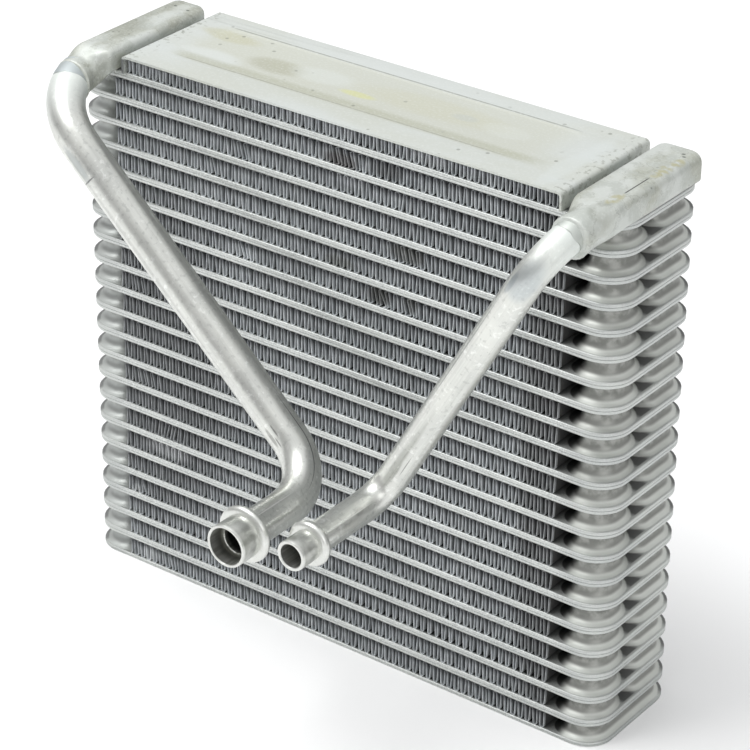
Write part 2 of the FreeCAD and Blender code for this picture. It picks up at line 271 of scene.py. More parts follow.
# A painted shadow along the bottom of each rim, where the strip below meets it.
under = level.fade(0.3, 0.6) * (1 - at_end)
tone = satin.mix(under * 0.8, tone, (0.08, 0.08, 0.08))
# A painted shade line along the rims' upper edge at the rear of each end.
rear_rim_shade = (across - 0.125 * along).ease(2.0, 8.0) * at_end
edge = level.between(1.9, 2.3, 3.1, 3.3)
tone = satin.mix(rear_rim_shade * edge * 0.8, tone, (0.08, 0.08, 0.08))
# A painted shadow line along the rims' upper edge at the left ends.
outline = level.between(1.9, 2.4, 3.1, 3.4) * along.fade(-129.0, -126.5)
foot = level.between(2.7, 3.0, 3.6, 4.8) * at_end
satin.set("Base Color", satin.mix(outline * 0.7, tone, (0.14, 0.14, 0.14)))
satin.set("Metallic", 0.7 - 0.35 * foot * at_right)
satin.set("Roughness", 0.34 + 0.2 * cloud)
satin.bump(grain, 0.00005)


def add_piece(name, bm, finish, node):
    """Makes a piece that stands for a node, from a bmesh in millimetres in the core's frame."""
    bmesh.ops.scale(bm, vec=[1 / MILLIMETRES] * 3, verts=bm.verts[:])
    mesh = bpy.data.meshes.new(name)
    bm.to_mesh(mesh)
    bm.free()
    mesh.materials.append(finish.material)
    mesh.shade_smooth()
    mesh.set_sharp_from_angle(angle=math.radians(SHARP_ANGLE))
    item = bpy.data.objects.new(name, mesh)
    bpy.context.scene.collection.objects.link(item)
    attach(item, "root")
    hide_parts(node)


def node_box(node):
    """The corners of a solid, in millimetres."""
    low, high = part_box(node)
    return low * MILLIMETRES, high * MILLIMETRES


def rectangle(first_x, first_y, last_x, last_y, height):
    """The corners of a level rectangle, in order round it."""
    places = ((first_x, first_y), (last_x, first_y), (last_x, last_y), (first_x, last_y))
    return [Vector((*place, height)) for place in places]


def rounded_face(bm, corners, radii):
    """A flat face of the given corners, each rounded with its own radius."""
    bm.faces.new([bm.verts.new(corner) for corner in corners])
    for corner, radius in zip(corners, radii):
        sharp = min(bm.verts, key=lambda vert: (vert.co - corner).length)
        bmesh.ops.bevel(
            bm,
            geom=[sharp],
            affect="VERTICES",
            offset=radius,
            offset_type="OFFSET",
            segments=CORNER_SEGMENTS,
            profile=0.5,
            material=-1,
        )
    bm.faces.ensure_lookup_table()
    return bm.faces[0]


def raise_face(bm, face, steps):
    """Grows walls under a face: each step narrows its outline by the first number and lifts it."""
    for narrower, higher in steps:
        bmesh.ops.inset_individual(
            bm, faces=[face], thickness=narrower, depth=higher, use_even_offset=True
        )


def rounding(radius, first_slope, last_slope, segments=4):
    """Steps of an arc that turns from one slope to another. 0 is level and 90 is upright."""
    steps = []
    way = 1 if last_slope > first_slope else -1
    for step in range(segments):
        near, far = (
            math.radians(first_slope + (last_slope - first_slope) * (step + end) / segments)
            for end in (0, 1)
        )
        across = radius * (math.sin(far) - math.sin(near)) * way
        up = radius * (math.cos(near) - math.cos(far)) * way
        steps.append((across, up))
    return steps


def close_form(bm):
    """Closes the open ends of a form and turns its faces outwards."""
    bmesh.ops.holes_fill(bm, edges=[edge for edge in bm.edges if edge.is_boundary], sides=0)
    bmesh.ops.recalc_face_normals(bm, faces=bm.faces[:])
    return bm


def join(bm, part):
    """Moves a finished form into the mesh of its piece."""
    mesh = bpy.data.meshes.new("part")
    part.to_mesh(mesh)
    part.free()
    bm.from_mesh(mesh)
    bpy.data.meshes.remove(mesh)


def rim_pair(low, high, thickness):
    """Two brazed plates with rounded rims and a thin seam between them."""
    part = bmesh.new()
    corners = rectangle(
        low.x + RIM_ROUND, low.y + RIM_ROUND, high.x - RIM_ROUND, high.y - RIM_ROUND, low.z
    )
    face = rounded_face(part, corners, [PLATE_CORNER] * 4)
    straight = (0, (thickness - SEAM_HEIGHT) / 2 - RIM_ROUND)
    seam = [(SEAM_DEPTH, 0), (0, SEAM_HEIGHT), (-SEAM_DEPTH, 0)]
    swell, close = rounding(RIM_ROUND, 180, 90), rounding(RIM_ROUND, 90, 0)
    raise_face(part, face, [*swell, straight, *seam, straight, *close])
    return close_form(part)


def end_form(side, near, far, high, base, height, radii):
    """A form drawn up from a plate's end, between two places across it. Side is -1 or 1."""
    outer = side * (high.x - CUP_INSET)
    inner = side * (high.x - CUP_INSET - CUP_LENGTH)
    part = bmesh.new()
    corners = rectangle(inner, near, outer, far, base)
    if side * (far - near) < 0:
        corners.reverse()
        radii = radii[::-1]
    face = rounded_face(part, corners, radii)
    foot = rounding(CUP_FOOT_RADIUS, CUP_FOOT_SLOPE, 90, 6)
    crown = rounding(CUP_CROWN_RADIUS, 90, 180 - CUP_CROWN_SLOPE)
    straight = height - sum(up for _, up in foot + crown)
    spread = sum(across for across, _ in foot)
    raise_face(part, face, [(-spread, 0), *foot, (0, straight), *crown])
    for vert in part.verts:
        share = max(0, (outer - vert.co.x) * side / CUP_LENGTH - CUP_SLOPE_STARTS)
        sunk = max(0, 1 - (vert.co.z - base) / height)
        vert.co.x -= side * CUP_INNER_SLOPE * share * sunk ** 3
    return close_form(part)


tube_names = sorted(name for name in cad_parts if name.startswith("tube_"))
low, high = node_box(tube_names[0])
rim_thickness = high.z - low.z

for name in tube_names:
    low, high = node_box(name)
    bm = bmesh.new()
    join(bm, rim_pair(low, high, rim_thickness))
    shelf = low.z + rim_thickness
    rise = high.z - shelf
    if rise > 0:
        for side in (-1, 1):
            for end, (near, corner) in CUP_VALLEY_ENDS.items():
                far = end * (high.y - CUP_INSET)
                radii = [CUP_CORNERS["inner"], corner, CUP_CORNERS["outer"], CUP_CORNERS["inner"]]
                join(bm, end_form(side, near, far, high, shelf, rise, radii))
    add_piece(name.replace("tube", "plate_pair"), bm, satin, name)


# Fin strips: thin aluminium folded back and forth between the tubes and brazed at its bends, with
# louvres pressed in each leg. Handling has bent some of the legs. The strips show darker from painted
# shade under the rims, in the louvre slits, deeper in the core and in patches, with painted glints.

LEG_PITCH = 1.75
SHEET = 0.26
BEND = 0.7
CREST = 0.95
LEG_LEAN = 0.16
LOUVRE_PITCH = 1.15
LOUVRE_SWING = 0.2
LOUVRES = 3
FIN_HALF_DEPTH = 29
BENT_LEGS = [
    # strip, place along it in millimetres, width of the bent stretch, how far the legs lean
    (2, 5.0, 9.0, 1.3),
    (3, -46.0, 5.0, 1.0),
    (4, -62.0, 6.0, 0.8),
    (5, 36.0, 12.0, 1.1),
    (7, 23.0, 6.0, 1.5),
    (7, 37.0, 5.0, 1.1),
    (7, -46.0, 6.0, 1.0),
    (10, -102.0, 5.0, 1.0),
    (14, -101.0, 8.0, 1.0),
    (16, -88.0, 14.0, -0.9),
    (19, -104.0, 3.0, 1.1),
    (22, -88.0, 7.0, 0.9),
]
# Spots on the strips: the two large dark ovals are painted shade, left of the suction pipe and at the
# right end; the pale spots are painted glints on bent legs; the small dark spots darken the strips in
# places.
PAINTED_LIGHT_AND_SPOTS = [
    # place along the strip and its height, half length, half height, colour, strength
    ((-95, 105), (45, 85), (0.14, 0.14, 0.14), 0.45),
    ((103, 120), (13, 140), (0.13, 0.125, 0.12), 0.5),
    ((4, 224), (9, 4), (0.13, 0.11, 0.1), 0.65),
    ((26, 226), (8, 4), (0.14, 0.14, 0.14), 0.5),
    ((36, 193), (9, 4), (0.15, 0.15, 0.13), 0.6),
    ((23, 171), (6, 4), (0.1, 0.1, 0.09), 0.75),
    ((38, 172), (4, 4), (0.15, 0.15, 0.13), 0.5),
    ((3, 180), (8, 3), (0.2, 0.2, 0.16), 0.4),
    ((33, 96), (5, 4), (0.15, 0.15, 0.14), 0.5),
    ((-25, 68), (4, 3), (0.2, 0.2, 0.18), 0.5),
    ((46, 236), (9, 3), (0.95, 0.97, 0.98), 0.35),
    ((9, 217), (9, 3), (0.9, 0.93, 0.95), 0.3),
    ((-48, 169), (8, 4), (0.9, 0.93, 0.95), 0.35),
    ((-88, 62), (13, 4), (0.95, 0.97, 0.98), 0.45),
    ((-107, 36), (3, 3), (0.95, 0.97, 0.98), 0.5),
    ((-101, 5), (5, 4), (0.95, 0.97, 0.98), 0.5),
]

folded = Finish("folded_fin_sheet", 0.3, 0.4, (0.7, 0.72, 0.73))
streak = folded.noise(420, detail=2, stretch=(1, 0.15, 0.25))
patchy = folded.noise(75, detail=3, stretch=(1, 1, 1.6))
along, across, height = (folded.axis(index) for index in range(3))
depth = FIN_HALF_DEPTH - abs(across)
# The louvre slits are painted dark: painted shade in their openings.
gap = (depth - 0.9) % LOUVRE_PITCH
slit_shade = gap.fade(0.12, 0.45) * depth.ease(0.9, 1.0)
level = (height - FIRST_TUBE_LOW) % STACK_STEP
tone = folded.mix(streak.ease(0.3, 0.7), (0.48, 0.51, 0.53), (0.72, 0.75, 0.77))
tone = folded.mix(patchy.ease(0.35, 0.65) * 0.3, tone, (0.4, 0.42, 0.43))
tone = folded.mix(slit_shade * 0.85, tone, (0.1, 0.1, 0.1))
# Painted shadow towards the top of each strip, under the rim above.
tone = folded.mix(level.ease(7.0, 10.6) * 0.8, tone, (0.08, 0.085, 0.09))
# Painted shade at the strips' right end, in the gap before the cups.
last_leg_shade = along.ease(107.2, 107.8) * depth.ease(0.9, 1.4)
tone = folded.mix(last_leg_shade * 0.95, tone, (0.02, 0.02, 0.02))
for middle, size, color, strength in PAINTED_LIGHT_AND_SPOTS:
    tone = folded.mix(folded.spot(along, height, middle, size) * strength, tone, color)
# Painted shade deeper into the core, away from the strips' front and back edges.
folded.set("Base Color", folded.mix(depth.ease(1.6, 6.0), tone, (0.08, 0.08, 0.08)))


def strip_lines(front, back):
    """Places of the cross lines of a strip: its edges, its louvres near them and a plain middle."""
    near = [front] + [front + LOUVRE_PITCH * (0.8 + step) for step in range(LOUVRES)]
    return near + [front + back - place for place in reversed(near)]


def fin_strip(low, high, number):
    """A grid that is folded into a row of legs. Each leg has four cross sections."""
    chance = random.Random(number)
    legs = round((high.x - low.x - CREST) / LEG_PITCH)
    pitch = (high.x - low.x) / legs
    lines = strip_lines(low.y, high.y)
    floor, roof = low.z + SHEET / 2, high.z - SHEET / 2
    across = [-CREST / 2, -LEG_LEAN / 2, LEG_LEAN / 2, CREST / 2]
    up = [0, BEND, roof - floor - BEND, roof - floor]
    last_column = legs * len(across) - 1
    last_line = len(lines) - 1
    bm = bmesh.new()
    bmesh.ops.create_grid(bm, x_segments=last_column, y_segments=last_line, size=0.5)
    leans = [chance.gauss(0, 0.11) for _ in range(legs)]
    slips = [max(-0.25, min(0.25, chance.gauss(0, 0.13))) for _ in range(legs)]
    for strip, place, width, lean in BENT_LEGS:
        if strip == number:
            for leg in range(legs):
                near = math.exp(-(((low.x + leg * pitch - place) / width) ** 2) * 2)
                leans[leg] += lean * near * chance.uniform(0.5, 1.2)
    for vert in bm.verts:
        line = round((vert.co.y + 0.5) * last_line)
        leg, part = divmod(round((vert.co.x + 0.5) * last_column), len(across))
        z = floor + up[part] if leg % 2 == 0 else roof - up[part]
        x = low.x + pitch * (leg + 0.5) + across[part] + slips[leg]
        if part in (1, 2):
            x += leans[leg] * (1 - 2 * (z - floor) / (roof - floor))
            if 0 < line < last_line:
                x += LOUVRE_SWING * (1 if line % 2 else -1)
        vert.co = (x, lines[line], z)
    bmesh.ops.recalc_face_normals(bm, faces=bm.faces[:])
    bmesh.ops.solidify(bm, geom=bm.faces[:], thickness=SHEET)
    for vert in bm.verts:
        vert.co.x = min(max(vert.co.x, low.x), high.x)
        vert.co.z = min(max(vert.co.z, low.z), high.z)
    bmesh.ops.recalc_face_normals(bm, faces=bm.faces[:])
    return bm


fin_names = sorted(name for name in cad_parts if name.startswith("fin_"))
for number, name in enumerate(fin_names, start=1):
    low, high = node_box(name)
    add_piece(name.replace("fin", "folded_strip"), fin_strip(low, high, number), folded, name)


# Bottom end plate: a stamped plate brazed under the lowest strip, with one wide form at each end
# that carries the lowest tube. The same satin aluminium as the tube plates.

BASE_FORM_CORNERS = [CUP_CORNERS[name] for name in ("inner", "outer", "outer", "inner")]

low, high = node_box("bottom_end_plate")
base_thickness = node_box("fin_22")[0].z
reach = high.y - CUP_INSET
rise = high.z - base_thickness
bm = bmesh.new()
join(bm, rim_pair(low, high, base_thickness))
for side in (-1, 1):
    join(bm, end_form(side, -reach, reach, high, base_thickness, rise, BASE_FORM_CORNERS))
add_piece("bottom_plate", bm, satin, "bottom_end_plate")


# Top end plate: aluminium sheet bent down at both ends and brazed over the top strip, with a
# shallow trough pressed in it. Matt and pale, with olive and yellowish flux stains and specks,
# and painted shade along the trough's rear wall and in the left flange's front corner.

TOP_SHEET = 1.0
FLANGE_BEND = 2.0
FLANGE_STEPS = 6
TROUGH_END_MARGINS = (14.5, 19.5)
TROUGH_SIDE_MARGIN = 10.0
TROUGH_CORNER = 10.0
TROUGH_SLOPE = 9.0
TROUGH_DEPTH = 0.35
TROUGH_STEPS = [
    # how far the outline narrows, share of the depth
    (0.4, 0.15),
    (1.2, 0.7),
    (0.4, 0.15),
]
SAME_PLACE = 1e-4
STAINS = [
    # place along and across the plate, half length, half width, colour, strength
    ((-84, 13), (16, 5), (0.5, 0.49, 0.33), 0.5),
    ((-78, -8), (16, 7), (0.7, 0.74, 0.74), 0.5),
    ((-50, 0), (15, 7), (0.4, 0.4, 0.3), 0.6),
    ((-30, 3), (15, 7), (0.68, 0.72, 0.7), 0.35),
    ((-8, -3), (9, 2.5), (0.62, 0.63, 0.33), 0.8),
    ((24, 4), (40, 9), (0.55, 0.55, 0.43), 0.5),
    ((38, 4), (6, 3), (0.5, 0.53, 0.5), 0.5),
    ((58, 3), (12, 6), (0.66, 0.69, 0.66), 0.3),
    ((96, -4), (5, 30), (0.66, 0.7, 0.69), 0.4),
]

matt = Finish("matt_end_plate", 0.35, 0.5, (0.56, 0.575, 0.54))
along, across, height = (matt.axis(index) for index in range(3))
patches = matt.noise(22, detail=4, stretch=(0.45, 1.4, 1))
fine = matt.noise(900, detail=3)
spots = matt.cells(110.0)
tone = matt.mix(patches.ease(0.4, 0.65), (0.62, 0.65, 0.63), (0.57, 0.59, 0.54))
wavy = along + 14 * (patches - 0.5)
ragged = across + 5 * (patches - 0.5)
inside = across.between(-18.0, -13.0, 19.5, 20.5) * wavy.between(-98.0, -84.0, 70.0, 92.0)
tone = matt.mix(inside * 0.7, tone, (0.56, 0.57, 0.49))
for middle, size, color, strength in STAINS:
    tone = matt.mix(matt.spot(wavy, ragged, middle, size) * strength, tone, color)
band = across.near(-13.0, 1.0, 5.0) * wavy.between(-98.0, -84.0, 76.0, 92.0)
tone = matt.mix(band * 0.55, tone, (0.42, 0.43, 0.33))
# Painted shade along the trough's shallow rear wall.
rear_wall_shade = across.near(20.6, 0.1, 0.7) * wavy.between(-92.0, -84.0, 74.0, 86.0)
tone = matt.mix(rear_wall_shade * 0.75, tone, (0.26, 0.27, 0.23))
front_line = across.near(-15.4, 0.1, 0.6) * wavy.between(-94.0, -80.0, 60.0, 80.0)
tone = matt.mix(front_line * 0.65, tone, (0.3, 0.3, 0.25))
rolled = matt.noise(160, detail=4, stretch=(0.06, 1, 1)).ease(0.5, 0.7) * across.ease(19.0, 22.0)
tone = matt.mix(rolled * 0.4, tone, (0.36, 0.38, 0.36))
tone = matt.mix(fine.ease(0.45, 0.8) * 0.4, tone, (0.7, 0.72, 0.7))
rubbed = abs(along).ease(97.0, 103.0) * matt.noise(420, detail=4).ease(0.56, 0.62)
tone = matt.mix(rubbed * 0.5, tone, (0.28, 0.29, 0.25))
# Painted shade in the front corner inside the left flange, beside the top strip's end.
corner = along.fade(-105.8, -105.0) * across.fade(-30.4, -29.8) * height.fade(238.6, 239.6)
tone = matt.mix(corner * 0.9, tone, (0.12, 0.125, 0.13))
specks = spots.fade(0.06, 0.12) * patches.ease(0.42, 0.55)
matt.set("Base Color", matt.mix(specks * 0.6, tone, (0.2, 0.21, 0.18)))
matt.set("Roughness", 0.42 + 0.2 * patches)
matt.bump(fine, 0.00005)

low, high = node_box("top_end_plate")
left, right = low.x + FLANGE_BEND, high.x - FLANGE_BEND
bm = bmesh.new()
outer = [bm.verts.new(place) for place in rectangle(left, low.y, right, high.y, high.z)]
border = [bm.edges.new((outer[index - 1], outer[index])) for index in range(4)]

front, back = low.y + TROUGH_SIDE_MARGIN, high.y - TROUGH_SIDE_MARGIN
near, far = low.x + TROUGH_END_MARGINS[0], high.x - TROUGH_END_MARGINS[1]
trough = bmesh.new()
face = rounded_face(trough, rectangle(near, front, far, back, high.z), [TROUGH_CORNER] * 4)
raise_face(trough, face, [(narrower, -TROUGH_DEPTH * share) for narrower, share in TROUGH_STEPS])
for vert in trough.verts:
    if vert.co.y < (front + back) / 2:
        vert.co.y += TROUGH_SLOPE * (high.z - vert.co.z) / TROUGH_DEPTH
join(bm, trough)
rim = [edge for edge in bm.edges if edge.is_boundary or edge in border]
bmesh.ops.triangle_fill(bm, use_beauty=True, edges=rim)
bmesh.ops.recalc_face_normals(bm, faces=bm.faces[:])

for place, angle in ((left, -90), (right, 90)):
    edge = [
        edge
        for edge in bm.edges
        if edge.is_boundary and all(abs(vert.co.x - place) < SAME_PLACE for vert in edge.verts)
    ]
    bend = bmesh.ops.spin(
        bm,
        geom=edge,
        cent=(place, 0, high.z - FLANGE_BEND),
        axis=(0, 1, 0),
        angle=math.radians(angle),
        steps=FLANGE_STEPS,
    )
    last = [part for part in bend["geom_last"] if isinstance(part, bmesh.types.BMEdge)]
    down = bmesh.ops.extrude_edge_only(bm, edges=last)
    moved = [part for part in down["geom"] if isinstance(part, bmesh.types.BMVert)]
    bmesh.ops.translate(bm, vec=(0, 0, low.z + FLANGE_BEND - high.z), verts=moved)
bmesh.ops.remove_doubles(bm, verts=bm.verts[:], dist=SAME_PLACE)
bmesh.ops.recalc_face_normals(bm, faces=bm.faces[:])
bmesh.ops.solidify(bm, geom=bm.faces[:], thickness=TOP_SHEET)
bmesh.ops.recalc_face_normals(bm, faces=bm.faces[:])
add_piece("top_plate", bm, matt, "top_end_plate")


# Pipes: drawn aluminium tube, bent twice in one plane. Each starts in the neck of its header and
# ends in a spigot behind a rolled bead, with flats where the clamp held it for the rolling.

PIPES = {
    "suction": {
        "start": (-122.6, 231.85),
        "end": (19.2, 99.9),
        "stand_off": 31.5,
        "top_bend": 27.5,
        "low_bend": 22.3,
        "radius": 7.95,
        "spigot": 9.0,
        "bead": 12.0,
        "mouth": 7.75,
        "bore": 5.9,
        "bore_depth": 6.5,
        "flux_end": 18.6,
        "flux": (0.5, 0.545, 0.555),
    },
    "liquid": {
        "start": (123.3, 236.1),
        "end": (50.5, 107.3),
        "stand_off": 33.5,
        "top_bend": 22.0,
        "low_bend": 13.1,
        "radius": 6.45,
        "spigot": 6.4,
        "bead": 9.4,
        "mouth": 4.9,
        "bore": 4.4,
        "bore_depth": 17.0,
        "flux_end": 21.6,
        "flux": (0.58, 0.61, 0.58),
    },
}
CORE_FRONT = -29.5
NECK_TURN = 22.0
PIPE_IN_NECK = 4.5
BEAD_SETBACK = 12.0
BEAD_WIDTH = 4.0
BEAD_STEPS = 12
MOUTH_DEPTH = 20
RING_POINTS = 48
RING_STEP = 3.0
FLAT_DEPTH = 0.5
NOTED = ("along", "around", "from_rim")
# Marks along the pipes, some of them painted light: the thin pale lines at 0.443 and 0.307 round, by
# the clamp flats, are painted highlights; the long grey bands on the suction pipe at 100 and 110 along
# are painted reflection; the bluish patch on the liquid pipe at 41 along is painted shade.
MARKS_AND_PAINTED_LIGHT = {
    # distance along the pipe, place round it, half length, half width, colour, strength
    "suction": [
        (54, 0.505, 9, 0.05, (0.3, 0.33, 0.33), 0.6),
        (61.8, 0.51, 0.4, 0.08, (0.1, 0.1, 0.1), 0.8),
        (100, 0.53, 60, 0.02, (0.36, 0.37, 0.35), 0.35),
        (110, 0.23, 70, 0.03, (0.36, 0.37, 0.35), 0.3),
        (188, 0.5, 5, 0.02, (0.12, 0.12, 0.11), 0.5),
        (186, 0.44, 3, 0.008, (0.08, 0.08, 0.08), 0.6),
        (191, 0.47, 3, 0.008, (0.08, 0.08, 0.08), 0.6),
        (196, 0.235, 24, 0.006, (0.08, 0.08, 0.08), 0.7),
        (231, 0.4, 7, 0.02, (0.25, 0.25, 0.22), 0.4),
        (236, 0.443, 12, 0.007, (0.95, 0.95, 0.92), 0.8),
        (238, 0.307, 12, 0.006, (0.95, 0.95, 0.92), 0.7),
        (238, 0.35, 10, 0.03, (0.34, 0.35, 0.3), 0.35),
    ],
    "liquid": [
        (41, 0.47, 9, 0.15, (0.38, 0.43, 0.46), 0.5),
        (45, 0.58, 5, 0.04, (0.3, 0.34, 0.36), 0.6),
        (85, 0.6, 30, 0.012, (0.2, 0.21, 0.2), 0.5),
        (147, 0.42, 6, 0.006, (0.16, 0.16, 0.15), 0.6),
        (152, 0.46, 5, 0.012, (0.3, 0.3, 0.28), 0.4),
        (110, 0.3, 50, 0.03, (0.76, 0.76, 0.7), 0.4),
        (188, 0.45, 3, 0.05, (0.35, 0.35, 0.33), 0.4),
        (194, 0.443, 16, 0.008, (0.95, 0.95, 0.92), 0.8),
        (194, 0.307, 16, 0.007, (0.95, 0.95, 0.92), 0.7),
        (196, 0.37, 9, 0.04, (0.36, 0.37, 0.33), 0.35),
    ],
}


def ring_edges(verts):
    """The edges of a ring that has just been drawn, in order."""
    return list(dict.fromkeys(edge for vert in verts for edge in vert.link_edges))


def skin(bm, rings):
    """Bridges a row of rings of equally many points and closes both of its ends."""
    for first, second in zip(rings, rings[1:]):
        bmesh.ops.bridge_loops(bm, edges=first + second)
    return close_form(bm)


class Run:
    """The centre line of a pipe, from the core's front to its rim."""

    def __init__(self, kind):
        sizes = PIPES[kind]
        self.sizes = sizes
        self.forward = Vector((0, -1, 0))
        drop = Vector((sizes["end"][0] - sizes["start"][0], 0, sizes["end"][1] - sizes["start"][1]))
        self.slant = drop.normalized()
        self.normal = self.forward.cross(self.slant)
        self.origin = Vector((sizes["start"][0], CORE_FRONT, sizes["start"][1]))
        rim = node_box(f"{kind}_pipe")[0].y
        top, low = sizes["top_bend"], sizes["low_bend"]
        self.lengths = [
            sizes["stand_off"] - top,
            math.pi / 2 * top,
            drop.length - top - low,
            math.pi / 2 * low,
            CORE_FRONT - rim - sizes["stand_off"] - low,
        ]
        self.tail = sum(self.lengths[:4])
        self.length = sum(self.lengths)
        self.mouth = self.lengths[0] + top * math.radians(NECK_TURN)

    def at(self, distance):
        """The place and the direction of the centre line at a distance from the core's front."""
        lead, arc, slant, low_arc, _ = self.lengths
        top, low = self.sizes["top_bend"], self.sizes["low_bend"]
        place = self.origin + self.forward * min(distance, lead)
        if distance <= lead:
            return place, self.forward
        angle = min(distance - lead, arc) / top
        place = place + self.forward * top * math.sin(angle) + self.slant * top * (1 - math.cos(angle))
        if distance <= lead + arc:
            return place, self.forward * math.cos(angle) + self.slant * math.sin(angle)
        place = place + self.slant * min(distance - lead - arc, slant)
        if distance <= lead + arc + slant:
            return place, self.slant
        angle = min(distance - lead - arc - slant, low_arc) / low
        place = place + self.slant * low * math.sin(angle) + self.forward * low * (1 - math.cos(angle))
        if distance <= self.tail:
            return place, self.slant * math.cos(angle) + self.forward * math.sin(angle)
        return place + self.forward * (distance - self.tail), self.forward

    def ring(self, bm, distance, radius, flat=0.0, inside=False):
        """A round ring across the run. Flat is how deep the clamp's flats are, on four sides."""
        place, direction = self.at(distance)
        outward = self.normal.cross(direction)
        from_rim = self.length - distance
        verts = bmesh.ops.create_circle(bm, segments=RING_POINTS, radius=radius)["verts"]
        for index, vert in enumerate(verts):
            angle = 2 * math.pi * index / RING_POINTS
            reach = radius
            if flat:
                nearest = (angle + math.pi / 4) % (math.pi / 2) - math.pi / 4
                reach = min(radius, (radius - flat) / math.cos(nearest))
            vert.co = place + (outward * math.cos(angle) + self.normal * math.sin(angle)) * reach
            values = (distance, index / RING_POINTS, -from_rim if inside else from_rim)
            for name, value in zip(NOTED, values):
                vert[bm.verts.layers.float[name]] = value
        return ring_edges(verts)


def pipe_piece(kind):
    """One pipe with its clamp flats, bead, spigot and open mouth."""
    run = Run(kind)
    names = ("radius", "spigot", "bead", "mouth", "bore", "bore_depth")
    radius, spigot, bead, mouth, bore, depth = (run.sizes[name] for name in names)
    bm = bmesh.new()
    for name in NOTED:
        bm.verts.layers.float.new(name)
    rings = []
    start = run.mouth - PIPE_IN_NECK
    steps = int((run.tail - start) / RING_STEP)
    for step in range(steps + 1):
        rings.append(run.ring(bm, start + (run.tail - start) * step / steps, radius))
    bead_middle = run.length - BEAD_SETBACK
    clamp = bead_middle - BEAD_WIDTH / 2 - 1
    for place, share in ((run.tail + 1.5, 0.3), (run.tail + 3, 1), (clamp - 1, 1), (clamp, 0.6)):
        rings.append(run.ring(bm, place, radius, flat=FLAT_DEPTH * share))
    for step in range(BEAD_STEPS + 1):
        angle = math.pi * step / BEAD_STEPS
        base = radius + (spigot - radius) * step / BEAD_STEPS
        place = bead_middle - BEAD_WIDTH / 2 * math.cos(angle)
        rings.append(run.ring(bm, place, base + (bead - base) * math.sin(angle) ** 0.6))
    for back, size in ((6, spigot), (0.5, spigot), (0.15, spigot - 0.15), (0, spigot - 0.45)):
        rings.append(run.ring(bm, run.length - back, size))
    bored = [(0, mouth + 0.3), (0.3, mouth), (depth - 1, mouth), (depth, mouth - 0.3)]
    bored += [(depth + 0.1, bore + 0.3), (depth + 0.5, bore), (MOUTH_DEPTH, bore)]
    for back, size in bored:
        rings.append(run.ring(bm, run.length - back, size, inside=True))
    return skin(bm, rings)


def pipe_finish(kind):
    """Drawn aluminium with streaks and pits, flux by the neck, worn marks and a turned end.
    Some marks are painted highlights, reflection and shade, and the bore has painted shade.
    """
    drawn = Finish(f"{kind}_pipe_aluminium", 0.75, 0.3, (0.6, 0.61, 0.58))
    along, around, from_rim = (
        drawn.node("ShaderNodeAttribute", {"attribute_name": name}, output="Fac") for name in NOTED
    )
    cloud = drawn.noise(55, detail=3)
    fine = drawn.noise(1200, detail=2)
    torn = drawn.noise(130, detail=4)
    pits = drawn.noise(520, detail=4)
    unrolled = drawn.node("ShaderNodeCombineXYZ", None, along * 0.012, around * 18)
    streaks = drawn.noise(2.0, detail=4, place=unrolled)
    tone = drawn.mix(cloud.ease(0.35, 0.7), (0.64, 0.65, 0.62), (0.74, 0.75, 0.71))
    tone = drawn.mix(streaks.ease(0.45, 0.75) * 0.4, tone, (0.46, 0.47, 0.44))
    tone = drawn.mix(streaks.fade(0.25, 0.42) * 0.4, tone, (0.84, 0.85, 0.82))
    tone = drawn.mix(pits.ease(0.56, 0.66) * torn.ease(0.4, 0.6) * 0.6, tone, (0.9, 0.91, 0.88))
    tone = drawn.mix(pits.fade(0.34, 0.42) * 0.35, tone, (0.4, 0.41, 0.39))
    for place, turn, length, width, color, strength in MARKS_AND_PAINTED_LIGHT[kind]:
        mark_and_light = drawn.spot(along + 2 * (cloud - 0.5), around, (place, turn), (length, width))
        tone = drawn.mix(mark_and_light * strength, tone, color)
    flux_end = PIPES[kind]["flux_end"]
    ragged = along + 5 * (cloud - 0.5) + 3 * (torn - 0.5)
    flux = ragged.fade(flux_end - 0.15, flux_end + 0.15)
    pale = ragged.fade(flux_end, flux_end + 22) * (1 - flux)
    tone = drawn.mix(pale * 0.8, tone, (0.72, 0.76, 0.73))
    tone = drawn.mix(flux * 0.9, tone, PIPES[kind]["flux"])
    tide = ragged.near(flux_end, 0.05, 0.35) * torn.ease(0.4, 0.6)
    tone = drawn.mix(tide * 0.6, tone, (0.22, 0.24, 0.22))
    tone = drawn.mix(from_rim.fade(14.2, 14.8) * 0.6, tone, (0.7, 0.71, 0.68))
    worn = from_rim.between(0.6, 1.6, 7.0, 10.0)
    rubbed = drawn.noise(160, detail=4).ease(0.35, 0.65)
    tone = drawn.mix(worn * (0.3 + 0.4 * rubbed), tone, (0.24, 0.25, 0.22))
    depth = 0 - from_rim
    bore = PIPES[kind]["bore_depth"]
    # Painted shade inside the mouth, streaked.
    bore_shade = depth.ease(0.1, 0.4) * (0.1 + 0.6 * streaks.ease(0.3, 0.7))
    tone = drawn.mix(bore_shade, tone, (0.3, 0.3, 0.27))
    # Painted shade at the counterbore's step, and near black painted shade deeper in the bore.
    tone = drawn.mix(depth.between(bore * 0.3, bore, bore, bore + 0.2), tone, (0.2, 0.2, 0.18))
    deep = depth.ease(bore + 0.6, bore + 3)
    drawn.set("Base Color", drawn.mix(deep * 0.9, tone, (0.04, 0.04, 0.04)))
    drawn.set("Roughness", 0.26 + 0.14 * cloud + 0.24 * flux + 0.22 * pale)
    drawn.set("Metallic", 0.85 - 0.5 * pale)
    drawn.bump(fine + 0.4 * streaks + 1.5 * pits, 0.00005)
    return drawn


for kind in PIPES:
    add_piece(f"{kind}_tube", pipe_piece(kind), pipe_finish(kind), f"{kind}_pipe")


